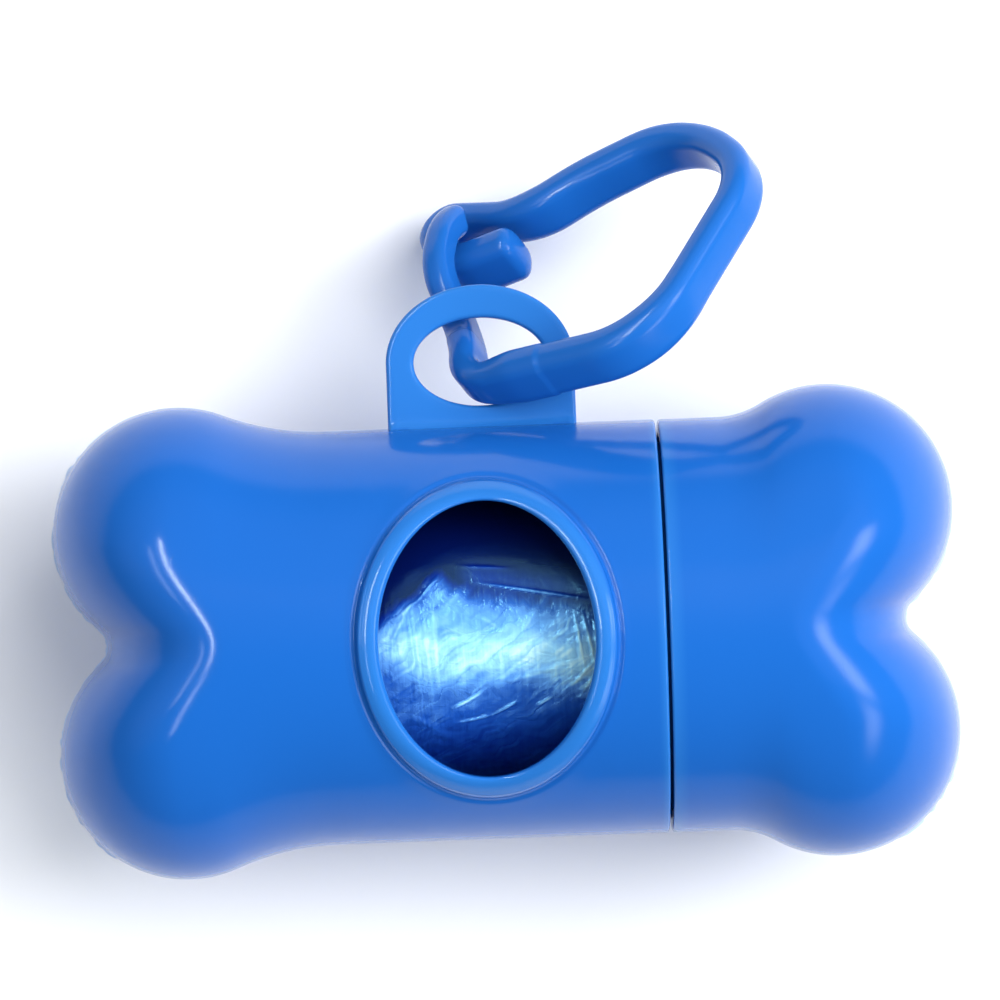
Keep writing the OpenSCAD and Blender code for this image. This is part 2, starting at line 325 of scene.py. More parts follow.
# %% Node group: moulded skin
skin_tree, given, skin_out = new_group(
    "moulded_skin",
    "ShaderNodeTree",
    {
        "Waves per metre": 60.0,
        "Wave height": 0.3,
        "Scratch height": 0.05,
        "Base roughness": 0.12,
        "Dulling": 0.1,
    },
    {"Height": FLOAT, "Roughness": FLOAT},
)
place = own_place(skin_tree)
waves = noise(skin_tree, place, given["Waves per metre"], 1.0)
scratches = cell_edges(skin_tree, place, 260.0).spread(0.0, 0.012, 1.0, 0.0)
patches = noise(skin_tree, place, 190.0, 6.0)
scratched = scratches * patches.spread(0.56, 0.72)
plug(skin_out, {
    "Height": waves * given["Wave height"] - scratched * given["Scratch height"],
    "Roughness": given["Base roughness"] + patches * given["Dulling"],
})
print("moulded_skin:", len(skin_tree.nodes), "nodes")

# %% [markdown]
# ## The blue plastics
# The bone and the clip are the same saturated blue. The clip is a stiffer plastic with a
# little less gloss. A plastic's reflection is weak and colourless and its colour comes
# from inside, so a dielectric Principled shader with a blue base is the natural choice.
# On the tab, the bead's crown and the lips at the seam the blue is painted paler, as a
# painted highlight for the light that these parts catch. The meshes say where, in an
# attribute that the colour is mixed by.

# %% Parts of a material
def new_material(name):
    """A material of nodes. Returns it, its tree and its shader."""
    material = bpy.data.materials.new(name)
    material.use_nodes = True
    print("material", name)
    return material, material.node_tree, material.node_tree.nodes["Principled BSDF"]


def mixed(share, first, second):
    """A colour between two. The Mix node's share is input 0, its colours 6 and 7, its result 2."""
    tree = share.socket.id_data
    return add(tree, "ShaderNodeMix", {0: share, 6: first, 7: second}, data_type="RGBA").outputs[2]


def bumped(height, strength, distance):
    """The surface's normal, tipped by a height's slopes. The distance is in metres."""
    values = {"Height": height, "Strength": strength, "Distance": distance}
    return add(height.socket.id_data, "ShaderNodeBump", values).outputs["Normal"]


def attribute(tree, name):
    """A number that the mesh stores at its points, which is 0 where it stores none."""
    return Sum(add(tree, "ShaderNodeAttribute", attribute_name=name).outputs["Fac"])


# %% Materials: bone, clip and parting line
HIGHLIGHT_BLUE = (0.036, 0.23, 0.6, 1)  # the paler blue that the painted highlight mixes in


def plastic(name, colour, shade, roughness, wave_height, dulling):
    """A glossy moulded plastic whose colour drifts slightly towards a second shade."""
    material, tree, shader = new_material(name)
    amounts = {"Base roughness": roughness, "Wave height": wave_height, "Dulling": dulling}
    marks = add(tree, "ShaderNodeGroup", amounts, node_tree=skin_tree)
    drifted = mixed(noise(tree, own_place(tree), 35.0, 2.0), (*colour, 1), (*shade, 1))
    plug(shader, {
        # the attribute named thin holds the share of the painted highlight, not a thickness
        "Base Color": mixed(attribute(tree, "thin"), drifted, HIGHLIGHT_BLUE),
        "Roughness": marks.outputs["Roughness"],
        "Normal": bumped(Sum(marks.outputs["Height"]), 0.25, 0.0004),
        "IOR": 1.49,
        "Specular IOR Level": 0.2,
    })
    return material


bone_plastic = plastic("bone_plastic", (0.009, 0.113, 0.455), (0.007, 0.102, 0.425), 0.12, 0.35, 0.06)
clip_plastic = plastic("clip_plastic", (0.011, 0.12, 0.45), (0.009, 0.108, 0.42), 0.15, 0.4, 0.08)
# near-white: a painted highlight for the light that shines through the thin fin and catches it
fin_painted_highlight = plastic("fin_painted_highlight", (0.78, 0.86, 0.95), (0.45, 0.62, 0.88), 0.25, 0.2, 0.1)

# %% [markdown]
# ## Bag film
# The bags are thin blue polyethylene, wound tight. Where a layer lies flat on the next
# one the roll looks navy and wet. The outermost bag's colour runs from painted shade, a near
# black where the roll lies deep under the hole's edge, to a painted sheen: the reflection of
# the room's light as a band of light cyan and white across the top of the roll, with some
# cloudiness where air and pleats lift the layers apart. The mesh of the outermost bag says
# how far along each point is, as an attribute, so the painted sheen follows the same pleats
# and folds as the shape. The bump adds what is finer than the mesh: pleats round the roll,
# wrinkles, and creases at a slant. It is weak where the film lies flat. The inner bags have
# no such attribute, which reads as nought, and stay at the darkest, painted-shade navy.

# %% Node group: wound film
film_tree, given, film_out = new_group(
    "wound_film",
    "ShaderNodeTree",
    {"Pleats per metre": 2200.0, "Wrinkles per metre": 420.0, "Pleat height": 0.35},
    {"Height": FLOAT, "Roughness": FLOAT, "Sheen and cloud": FLOAT},
)
WRINKLE_REACH = 0.0016  # how far the wrinkles pull the creases aside, in metres
place = own_place(film_tree)
drawn_out = add(film_tree, "ShaderNodeMapping", {"Vector": place, "Scale": (1.0, 0.07, 0.07)})
lift = noise(film_tree, drawn_out.outputs[0], given["Pleats per metre"], 3.0) * given["Pleat height"]
wrinkles = add(
    film_tree,
    "ShaderNodeTexNoise",
    {"Vector": place, "Scale": given["Wrinkles per metre"], "Detail": 5.0, "Distortion": 1.4},
)
warped = add(
    film_tree,
    "ShaderNodeVectorMath",
    {0: wrinkles.outputs["Color"], 1: (WRINKLE_REACH, WRINKLE_REACH, WRINKLE_REACH), 2: place},
    operation="MULTIPLY_ADD",
)
slanted = add(
    film_tree,
    "ShaderNodeMapping",
    {"Vector": warped.outputs[0], "Rotation": (0.0, 0.0, -0.6), "Scale": (0.35, 1.0, 1.0)},
)
creases = cell_edges(film_tree, slanted.outputs[0], 620.0)
ripple = Sum(wrinkles.outputs["Fac"]) * 0.6 + lift
# the attribute holds painted sheen with some cloudiness; where it is nought the colour is painted shade
sheen_cloud = attribute(film_tree, "cloud_and_sheen")
pale = sheen_cloud * ripple.spread(0.35, 0.6, 0.85, 1.12)
plug(film_out, {
    "Height": (creases * 1.6 + ripple) * sheen_cloud.spread(0.03, 0.35, 0.12, 1.0),
    "Roughness": pale.spread(low=0.2, high=0.42),
    "Sheen and cloud": pale,
})
print("wound_film:", len(film_tree.nodes), "nodes")

# %% Materials: the outermost film and the inner ones
# from painted shade, near black, through navy to the light cyan and white of the painted sheen
FILM_SHADE_TO_SHEEN = [
    (0.0, (0.0005, 0.004, 0.06)),
    (0.08, (0.001, 0.014, 0.2)),
    (0.25, (0.010, 0.08, 0.42)),
    (0.5, (0.10, 0.31, 0.74)),
    (0.75, (0.28, 0.62, 0.86)),
    (1.0, (0.58, 0.92, 0.93)),
]


def film(name, bump_strength, gloss):
    """Wound film: painted shade where the attribute is nought, up to a painted sheen where it is 1."""
    material, tree, shader = new_material(name)
    winding = add(tree, "ShaderNodeGroup", node_tree=film_tree)
    colours = add(tree, "ShaderNodeValToRGB", {"Fac": winding.outputs["Sheen and cloud"]})
    stops = colours.color_ramp.elements
    for position, _ in FILM_SHADE_TO_SHEEN[1:-1]:
        stops.new(position)
    for stop, (position, colour) in zip(stops, FILM_SHADE_TO_SHEEN):
        stop.position, stop.color = position, (*colour, 1)
    plug(shader, {
        "Base Color": colours.outputs["Color"],
        "Roughness": winding.outputs["Roughness"],
        "Normal": bumped(Sum(winding.outputs["Height"]), bump_strength, 0.0003),
        "IOR": 1.6,
        "Specular IOR Level": gloss,
        "Specular Tint": (0.3, 0.75, 1.0, 1),
    })
    return material


outer_film = film("outer_film", 0.45, 0.9)
wound_film = film("wound_film_ends", 0.2, 0.5)

# %% [markdown]
# ## Card core
# The roll is wound on a tube of grey-brown card, itself wound from a paper strip: a wave
# along the axis gives the strip's spiral joint, and a fine noise its fibres.

# %% Material: card
card, card_tree, card_shader = new_material("card")
place = own_place(card_tree)
fibre = noise(card_tree, place, 1500.0, 6.0)
strip = add(
    card_tree,
    "ShaderNodeTexWave",
    {"Vector": place, "Scale": 40.0, "Distortion": 0.5},
    bands_direction="DIAGONAL",
)
grain = fibre * Sum(strip.outputs["Fac"])
plug(card_shader, {
    "Base Color": mixed(grain, (0.30, 0.21, 0.13, 1), (0.56, 0.43, 0.29, 1)),
    "Roughness": fibre.spread(low=0.75, high=0.95),
    "Normal": bumped(grain, 0.4, 0.0002),
})

# %% [markdown]
# ## Trees that make shapes
# Four shapes below come from Geometry Nodes: the lobed end, the thread, the parting line
# and the clip's band. Each tree takes a starting shape, its sizes and a plastic. Each ends
# in Realize Instances and Set Material, and its result is kept as a plain mesh.

# %% Starting, sweeping and ending a tree
def new_shaper(name, sizes):
    """A Geometry Nodes tree from a shape, sizes and a plastic to a shape."""
    geometry = {"Geometry": "NodeSocketGeometry"}
    inputs = {**geometry, **sizes, "Plastic": "NodeSocketMaterial"}
    return new_group(name, "GeometryNodeTree", inputs, geometry)


def place_of(tree):
    """The x, y and z of each point, as Sums."""
    position = add(tree, "GeometryNodeInputPosition").outputs[0]
    return [Sum(part) for part in add(tree, "ShaderNodeSeparateXYZ", {0: position}).outputs]


def moved(tree, shape, *place):
    """The shape with each point at a place made of three Sums."""
    point = add(tree, "ShaderNodeCombineXYZ", dict(enumerate(place))).outputs[0]
    return add(tree, "GeometryNodeSetPosition", {"Geometry": shape, "Position": point}).outputs[0]


def level(tree, curve):
    """The curve with its sections kept upright, whichever way it bends."""
    return add(tree, "GeometryNodeSetCurveNormal", {"Curve": curve}, mode="Z_UP").outputs[0]


def box_section(tree, width, height):
    """A rectangle to sweep."""
    values = {"Width": width, "Height": height}
    return add(tree, "GeometryNodeCurvePrimitiveQuadrilateral", values).outputs[0]


def curve_radius(tree):
    """The radius that a curve carries at each point."""
    return Sum(add(tree, "GeometryNodeInputRadius").outputs[0])


def swept(tree, curve, section, scale):
    """A closed mesh: the section swept along the curve, with its size scaled point by point."""
    values = {"Curve": curve, "Profile Curve": section, "Scale": scale, "Fill Caps": True}
    return add(tree, "GeometryNodeCurveToMesh", values).outputs[0]


def end_shaper(tree, given, out, shape):
    """The last nodes: instances made real, and the plastic set."""
    real = add(tree, "GeometryNodeRealizeInstances", {0: shape}).outputs[0]
    painted = add(tree, "GeometryNodeSetMaterial", {"Geometry": real, "Material": given["Plastic"]})
    plug(out, {0: painted.outputs[0]})
    print(tree.name, len(tree.nodes), "nodes")


# %% Running a tree and keeping its mesh
def grown(tree, start=None, **inputs):
    """The plain mesh that a tree makes from a starting shape, with its named inputs set."""
    carrier = bpy.data.objects.new("carrier", start or bpy.data.meshes.new("carrier"))
    scene.collection.objects.link(carrier)
    modifier = carrier.modifiers.new("tree", "NODES")
    modifier.node_group = tree
    for item in tree.interface.items_tree:
        if item.item_type == "SOCKET" and item.in_out == "INPUT" and item.name in inputs:
            modifier[item.identifier] = inputs[item.name]
    bpy.context.view_layer.update()
    evaluated = carrier.evaluated_get(bpy.context.evaluated_depsgraph_get())
    mesh = bpy.data.meshes.new_from_object(evaluated)
    carrier.modifiers.clear()
    bpy.data.objects.remove(carrier)
    return mesh


# %% [markdown]
# ## The lobed end
# On the real bone each end is a hollow, two-lobed form: seen from above it swells from
# the tube through a hollow shoulder into two round lobes with a notch between them, and
# its top rounds over into the end face down to the line where the mould parted.
# The tree bends a flat grid into that form: across the grid runs the angle round the
# axis, and along it first the shoulder, from the tube to the crest, then the end face,
# from the crest to the pole in the bottom of the notch. `Inset` moves the whole form
# inwards, so the same tree makes the outer skin and the inner one.

# %% Geometry Nodes: the grid, and what the rule starts from
SIDES = 240
END_SIZES = {
    "Tube radius": TUBE_R,
    "Lobe place": LOBE_X,
    "Lobe spread": LOBE_Y,
    "Lobe radius": LOBE_R,
    "Notch radius": NOTCH_R,
    "End round": END_ROUND,
    "Shoulder radius": BODY_SHOULDER_R,
    "Inset": 0.0,
}
end_tree, given, end_out = new_shaper(
    "lobed_end", {**END_SIZES, "Sides": SIDES, "Rows": 96, "Shoulder share": 0.3}
)
tube_r, lobe_x, lobe_y, lobe_r, notch_r, end_round, shoulder_r, inset = (given[label] for label in END_SIZES)
shoulder_share = given["Shoulder share"]
end_grid = add(end_tree, "GeometryNodeMeshGrid", {
    "Size X": 1.0, "Size Y": 1.0, "Vertices X": given["Sides"] + 1.0, "Vertices Y": given["Rows"] + 1.0
})
grid_x, grid_y, _ = place_of(end_tree)
around = (grid_x + 0.5) * math.tau
along_it = grid_y + 0.5

start_x = lobe_x - root(square(lobe_r + shoulder_r) - square(tube_r + shoulder_r - lobe_y))
shoulder_end = lobe_x - (lobe_r - inset) * (lobe_x - start_x) / (lobe_r + shoulder_r)
notch_x = lobe_x + root(square(lobe_r + notch_r) - square(lobe_y))
crest_depth = lobe_x - notch_x + notch_r + end_round


# %% Geometry Nodes: the rule of the lobed end
def half_width(x):
    """Half the width of the bone at x: tube, hollow shoulder, lobe, or the lobe's full width."""
    hollow = tube_r + shoulder_r - root(square(shoulder_r + inset) - square(x - start_x))
    lobe = lobe_y + root(square(lobe_r - inset) - square(lobe_x - x))
    full = lobe_y + lobe_r - inset
    return pick(x < start_x, tube_r - inset, pick(x < shoulder_end, hollow, pick(x < lobe_x, lobe, full)))


def crest_x(y):
    """Where the top begins to round over, at y from the axis."""
    wave = cosine(y / lobe_y * (math.pi / 2))
    return pick(y < lobe_y, lobe_x - crest_depth * square(wave), lobe_x)


def outline_x(y):
    """The end of the outline at y: the notch's arc, then the lobe's."""
    notch = notch_x - root(square(notch_r + inset) - square(y))
    lobe = lobe_x + root(square(lobe_r - inset) - square(y - lobe_y))
    return pick(y < lobe_y * (notch_r + inset) / (lobe_r + notch_r), notch, lobe)


side_share = Sum.math("ABSOLUTE", sine(around))
crest_half = lobe_y + lobe_r - inset
for _ in range(3):  # the crest's place and the width there depend on each other
    crest_half = half_width(crest_x(crest_half * side_share))

step = Sum.math("MINIMUM", along_it / shoulder_share, 1.0)
shoulder_x = start_x + step * (crest_x(crest_half * side_share) - start_x)
dip = Sum.math("MAXIMUM", (along_it - shoulder_share) / (1.0 - shoulder_share), 0.0) * (math.pi / 2)
face_y = crest_half * sine(around) * cosine(dip)
face_side = Sum.math("ABSOLUTE", face_y)
reach = root(Sum.math("MAXIMUM", 1.0 - square(cosine(dip) * sine(around)), 1e-9))
fall = Sum.math("MINIMUM", sine(dip) / reach, 1.0)
face_x = crest_x(face_side) + (outline_x(face_side) - crest_x(face_side)) * fall
on_shoulder = along_it < shoulder_share
end_x = pick(on_shoulder, shoulder_x, face_x)
end_y = pick(on_shoulder, half_width(shoulder_x) * sine(around), face_y)
end_z = (tube_r - inset) * cosine(around) * cosine(dip)
end_bent = moved(end_tree, end_grid.outputs["Mesh"], end_x * MM, end_y * MM, end_z * MM)
end_shaper(end_tree, given, end_out, end_bent)

# %% The body's end
OUTER_ROWS, INNER_ROWS = 104, 44


def lobed_end(shoulder, inset, rows):
    """One skin of a lobed end, as points in millimetres and faces."""
    sizes = {"Shoulder radius": shoulder, "Inset": inset, "Rows": rows, "Plastic": bone_plastic}
    return arrays_of(grown(end_tree, **sizes))


body_end_outer = mirrored(lobed_end(BODY_SHOULDER_R, 0.0, OUTER_ROWS))
body_end_inner = mirrored(lobed_end(BODY_SHOULDER_R, WALL, INNER_ROWS))
print("body end:", body_end_outer[0].min(0).round(2), body_end_outer[0].max(0).round(2))

# %% [markdown]
# ## The tube with its dispensing hole
# The hole is an oval cut through the top of the tube, with a raised bead round it. A
# boolean cut would leave ragged shading on such a glossy surface. Here the rows of the
# mesh run round the hole instead, as ripples do: the inner ones are the bead's section
# swept round the oval, and the outer ones spread out to a rectangle on the tube, where
# they meet the other skins point for point.

# %% The bead's section
def arc(centre, radius, start, end, steps):
    """Points of an arc in a section, from start to end degrees."""
    turn = np.radians(np.linspace(start, end, steps + 1))
    return [(centre[0] + radius * math.cos(t), centre[1] + radius * math.sin(t)) for t in turn]


# Outwards from the edge of the hole, and up from the tube's surface: the cut wall, the bead's
# inner round, its crown and its outer round, and a shallow groove with a soft outer lip.
WALL_SECTION = [(0.25, -WALL), (0.06, -WALL + 0.06), (0.0, -WALL + 0.25), (0.0, -0.5), (0.0, 0.3)]
GROOVE = [
    (2.03, 0.14), (2.1, 0.0), (2.17, -0.07), (2.28, -0.1), (2.4, -0.07),
    (2.52, -0.01), (2.66, 0.03), (2.82, 0.025), (3.05, 0.0),
]
BEAD = (
    WALL_SECTION[-1:]
    + arc((0.55, 0.36), 0.55, 180, 100, 7)
    + arc((0.85, -0.85), 1.8, 98, 64, 8)
    + arc((1.5, 0.34), 0.48, 58, 8, 6)
    + GROOVE
)


def bead_rows(t, section):
    """Rows round the hole at the angles t, on the tube: one for each point of a section."""
    rows = []
    for out, up in section:
        y = HOLE_Y + (HOLE_B + out) * np.sin(t)
        z = np.sqrt(np.maximum((TUBE_R + up) ** 2 - y**2, 0))
        rows.append(np.stack([HOLE_X + (HOLE_A + out) * np.cos(t), y, z], -1))
    return rows


# %% Rows from the hole to the edges of the tube
TUBE_STEPS = 48
QUARTER = SIDES // 4


def patch_border(x_from, x_to):
    """The border of the tube's top half, once round: right, far, left and near side."""
    rise = np.radians(np.linspace(-90, 90, 2 * QUARTER + 1))
    run = np.linspace(x_to, x_from, TUBE_STEPS + 1)
    x = np.concatenate([np.full(2 * QUARTER, x_to), run[:-1], np.full(2 * QUARTER, x_from), run[:0:-1]])
    side = np.full(TUBE_STEPS, math.pi / 2)
    return x, np.concatenate([rise[:-1], side, rise[:0:-1], -side])


def holed_patch(x_from, x_to, radius, outwards, rows):
    """Rows on the tube's top half from an oval round the hole to the patch's border."""
    x, q = patch_border(x_from, x_to)
    t = np.arctan2((radius * np.sin(q) - HOLE_Y) / HOLE_B, (x - HOLE_X) / HOLE_A)
    x_in = HOLE_X + (HOLE_A + outwards) * np.cos(t)
    q_in = np.arcsin((HOLE_Y + (HOLE_B + outwards) * np.sin(t)) / radius)
    share = np.linspace(0, 1, rows + 1)[:, None]
    xs, qs = x_in + share * (x - x_in), q_in + share * (q - q_in)
    return around_axis(xs, radius, qs), t


outer_patch, around_hole = holed_patch(BODY_START_X, EDGE_X, TUBE_R, GROOVE[-1][0], 12)
inner_patch, inner_around = holed_patch(BODY_START_X, BORE_END_X, BORE_R, WALL_SECTION[0][0], 6)

# the two patches have different rays, so the wall's rows turn from one to the other
wall_rows = []
for point, share in zip(WALL_SECTION, np.linspace(0, 1, len(WALL_SECTION))):
    t = np.unwrap(inner_around) * (1 - share) + np.unwrap(around_hole) * share
    wall_rows += bead_rows(t, [point])
print("rays round the hole:", len(around_hole), "rows of the bead:", len(BEAD))


# %% The tube's rings and its lower half
def turned(section):
    """Full rings of the tube for a list of places and radii, each starting at the top."""
    q = np.arange(SIDES) * math.tau / SIDES
    return skin([around_axis(x, radius, q) for x, radius in section])


def lower_half(x_to, radius):
    """The tube's lower half, from its far side under to its near side."""
    q = np.radians(np.linspace(90, 270, 2 * QUARTER + 1))
    run = np.linspace(BODY_START_X, x_to, TUBE_STEPS + 1)
    return skin([around_axis(x, radius, q) for x in run], closed=False)


# %% [markdown]
# ## Neck and seam
# The body ends in a turned neck that the cap screws on to. Its section is drawn once and
# turned round the axis: the rounded edge of the seam, the neck's outside and end, and
# back inside to the bore.

# %% Section of the seam, neck and bore
NECK_SECTION = (
    [(EDGE_X, TUBE_R)]
    + arc((EDGE_X, TUBE_R - SEAM_BEVEL), SEAM_BEVEL, 78, 0, 6)
    + [(SEAM_X, NECK_R + 0.2), (SEAM_X + 0.06, NECK_R + 0.06), (SEAM_X + 0.2, NECK_R)]
    + [(NECK_END_X - 0.5, NECK_R), (NECK_END_X - 0.15, NECK_R - 0.15), (NECK_END_X, NECK_R - 0.5)]
    + [(NECK_END_X, NECK_IN_R + 0.2), (NECK_END_X - 0.2, NECK_IN_R)]
    + [(SEAM_X - NECK_ROOT, NECK_IN_R), (BORE_END_X, BORE_R)]
)
neck = turned(NECK_SECTION)
print("neck:", len(NECK_SECTION), "rings")

# %% [markdown]
# ## The tab with its eye
# The tab is a flat plate that the mould's two halves shaped together with the body, with
# an oval eye for the clip. Its edges are slightly rounded, and it spreads into a small
# fillet where it meets the tube. One closed section, from the eye's edge over the face to
# the outer edge and back underneath, is swept once round the eye.

# %% The tab
TAB_X, TAB_HALF_W, TAB_T, TAB_EDGE = -1.6, 8.8, 2.4, 0.42
EYE_Y, EYE_A, EYE_B, RING_W = 25.3, 6.2, 4.1, 3.1
TAB_ROOT_Y = BORE_R + WALL / 2
TAB_FOOT_Y = math.sqrt(TUBE_R**2 - TAB_T**2 / 4)
TAB_FILLET = 0.55
TAB_RAYS = 240

tab_turn = np.arange(TAB_RAYS) * math.tau / TAB_RAYS
tab_ray = np.stack([np.cos(tab_turn), np.sin(tab_turn)], -1)
tab_inner = tab_ray * (EYE_A, EYE_B)
tab_top = tab_ray * (TAB_HALF_W, EYE_B + RING_W)
tab_reach = ((TAB_HALF_W, EYE_Y - TAB_ROOT_Y) / np.maximum(np.abs(tab_ray), 1e-6)).min(1)
tab_outer = np.where(tab_ray[:, 1:] >= 0, tab_top, tab_ray * tab_reach[:, None])
tab_width = tab_outer - tab_inner
tab_length = np.linalg.norm(tab_width, axis=1)

# share of the way from the eye to the outer edge, the distance past it, and the height
half_section = (
    [(0, *spot) for spot in arc((TAB_EDGE, -TAB_EDGE), TAB_EDGE, 180, 90, 5)]
    + [(share, 0.0, 0.0) for share in (0.15, 0.3, 0.5, 0.7, 0.85)]
    + [(1, *spot) for spot in arc((-TAB_EDGE, -TAB_EDGE), TAB_EDGE, 90, 0, 5)]
)
tab_rows = []
for side in (1, -1):
    for share, offset, height in half_section[::side]:
        reach = share * tab_length + offset + (TAB_EDGE * (1 - 2 * share) if 0 < share < 1 else 0)
        flat = tab_inner + tab_width * (reach / tab_length)[:, None]
        y = EYE_Y + flat[:, 1]
        clear = np.clip(TAB_FILLET - (y - TAB_FOOT_Y), 0, TAB_FILLET)
        spread_out = TAB_FILLET - np.sqrt(TAB_FILLET**2 - clear**2)
        tab_rows.append(np.stack([TAB_X + flat[:, 0], y, side * (TAB_T / 2 + height + spread_out)], -1))
tab_rows.append(tab_rows[0])
print("tab:", len(tab_rows), "rows of", TAB_RAYS)

# %% [markdown]
# ## The whole body
# All the skins meet point for point, so welding makes one closed shell of them. The tab
# only dips into the tube's wall, as the two come out of one mould in one plastic.

# %% The body
bone_body = piece_of(
    "bone_body_moulding",
    [
        body_end_outer,
        body_end_inner,
        skin(outer_patch),
        skin(inner_patch),
        skin(bead_rows(around_hole, BEAD)),
        skin(wall_rows),
        lower_half(EDGE_X, TUBE_R),
        lower_half(BORE_END_X, BORE_R),
        neck,
        skin(tab_rows),
    ],
    "body",
    bone_plastic,
)
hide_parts("bone_body")

# %% Where the body is painted paler, as a highlight
# how much paler the painted highlight makes the bead's crown, the lip at the seam and the tab
BEAD_HIGHLIGHT, LIP_HIGHLIGHT, TAB_HIGHLIGHT = 0.35, 0.35, 0.4

points = arrays_of(bone_body.data)[0] - AXIS
x, y = points[:, 0] - HOLE_X, points[:, 1] - HOLE_Y
share = np.sqrt((x / HOLE_A) ** 2 + (y / HOLE_B) ** 2)
out = (share - 1) * np.hypot(x, y) / np.maximum(share, 0.01)
height = np.sign(points[:, 2]) * np.hypot(points[:, 1], points[:, 2]) - TUBE_R
crown = eased(height, -0.1, 0.3) * eased(out, -0.1, 0.4) * (1 - eased(out, 1.5, 2.1))
lip = eased(height, -0.5, -0.2) * eased(points[:, 0], SEAM_X - 0.9, SEAM_X - 0.1)
on_tab = (np.abs(points[:, 0] - TAB_X) < TAB_HALF_W + 0.1) & (y > TUBE_R) & (np.abs(points[:, 2]) < TAB_T)
# the attribute named thin holds this painted highlight, not a thickness
paint(bone_body, "thin", np.where(on_tab, TAB_HIGHLIGHT, BEAD_HIGHLIGHT * crown + LIP_HIGHLIGHT * lip))

# %% [markdown]
# ## The cap
# The cap is the other lobed end on a short ring of tube. It uses the same tree with a
# tighter shoulder, and a turned section for its rounded edge at the seam.

# %% The cap
CAP_FROM = SEAM_X + SEAM_GAP
cap_edge = turned(
    [(CAP_START_X, BORE_R), (CAP_FROM + 0.15, BORE_R), (CAP_FROM, BORE_R + 0.15)]
    + [(CAP_FROM, TUBE_R - SEAM_BEVEL)]
    + arc((CAP_FROM + SEAM_BEVEL, TUBE_R - SEAM_BEVEL), SEAM_BEVEL, 168, 90, 6)
    + [(CAP_FROM + 1.5, TUBE_R), (CAP_START_X - 1.5, TUBE_R), (CAP_START_X, TUBE_R)]
)
cap_end_outer = lobed_end(CAP_SHOULDER_R, 0.0, OUTER_ROWS)
cap_end_inner = lobed_end(CAP_SHOULDER_R, WALL, INNER_ROWS)
end_cap = piece_of("end_cap_moulding", [cap_end_outer, cap_end_inner, cap_edge], "cap", bone_plastic)
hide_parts("end_cap")
cap_x = (arrays_of(end_cap.data)[0] - AXIS)[:, 0]
# a painted highlight along the cap's rounded edge at the seam, in the attribute named thin
paint(end_cap, "thin", LIP_HIGHLIGHT * (1 - eased(cap_x, CAP_FROM + 0.1, CAP_FROM + 0.7)))

# %% [markdown]
# ## Threads
# The neck and the cap screw together, which shows once the cap is off. A thread is a
# ridge that follows a helix, so a small tree draws the helix and sweeps a round section
# along it, thinned at both ends as the mould's cutter leaves it. The frame's cap slides
# straight off, so the two ridges stop a hair short of each other.

# %% Geometry Nodes: thread
tree, given, out = new_shaper("thread", {"Radius": 0.0174, "Length": 0.005, "Turns": 2.2, "Ridge": 0.00026})
helix = add(tree, "GeometryNodeCurveSpiral", {
    "Resolution": 96,
    "Rotations": given["Turns"],
    "Start Radius": given["Radius"],
    "End Radius": given["Radius"],
    "Height": given["Length"],
})
from_middle = Sum.math("ABSOLUTE", Sum(add(tree, "GeometryNodeSplineParameter").outputs["Factor"]) - 0.5)
taper = from_middle.spread(0.44, 0.5, 1.0, 0.1)
sized = add(tree, "GeometryNodeSetCurveRadius", {"Curve": helix.outputs[0], "Radius": taper})
section = add(tree, "GeometryNodeCurvePrimitiveCircle", {"Resolution": 10, "Radius": given["Ridge"]})
end_shaper(tree, given, out, swept(tree, sized.outputs[0], section.outputs[0], curve_radius(tree)))
thread_tree = tree


def thread(name, radius, start_x, length, body):
    """A thread round the bone's axis, as a piece on a body."""
    mesh = grown(thread_tree, **{"Radius": radius * MM, "Length": length * MM, "Plastic": bone_plastic})
    points, faces = arrays_of(mesh)
    laid = points[:, [2, 0, 1]] + (start_x, 0, 0)
    return piece_of(name, [(laid, faces)], body, bone_plastic, weld=0.001)


thread("neck_thread", NECK_R, SEAM_X + 1.5, 5.2, "body")
thread("cap_thread", BORE_R, SEAM_X + 1.3, 5.6, "cap")

# %% [markdown]
# ## The parting line
# Where the mould's halves met, a thin fin of plastic stands proud of the bone's ends. Being
# thin it is paler than the bone, and its near-white colour is a painted highlight, for the
# light that shines through it and catches it. It is not even: it beads, and it is only there
# in stretches, where the mould's edges had worn. It follows the
# outline, so a tree sweeps a flat section along a curve, kept level by the curve's
# normals. The curve's radius says how much of the fin is left, and a noise beads it.

# %% Geometry Nodes: parting line
tree, given, out = new_shaper(
    "parting_line", {"Spacing": 0.00025, "Reach": 0.00042, "Thickness": 0.00012, "Bead scale": 900.0}
)
spaced = {"Curve": given["Geometry"], "Length": given["Spacing"]}
even = add(tree, "GeometryNodeResampleCurve", spaced, mode="LENGTH").outputs[0]
grain = Sum(add(tree, "ShaderNodeTexNoise", {"Scale": given["Bead scale"], "Detail": 1.0}).outputs["Fac"])
size = grain.spread(0.4, 0.6, 0.2, 1.2) * curve_radius(tree)
section = box_section(tree, given["Reach"], given["Thickness"])
end_shaper(tree, given, out, swept(tree, level(tree, even), section, size))
line_tree = tree


# %% Drawing the parting line
# what is left of the fin on the tube, and how much of the rest is left outside the stretches
LINE_ON_TUBE, LINE_WORN = 0.08, 0.25


def poly_curve(points, radii):
    """A curve through points, in metres, with a radius at each."""
    data = bpy.data.curves.new("path", "CURVE")
    data.dimensions = "3D"
    spline = data.splines.new("POLY")
    spline.points.add(len(points) - 1)
    for point, place, radius in zip(spline.points, points, radii):
        point.co = (*place, 1)
        point.radius = radius
    return data


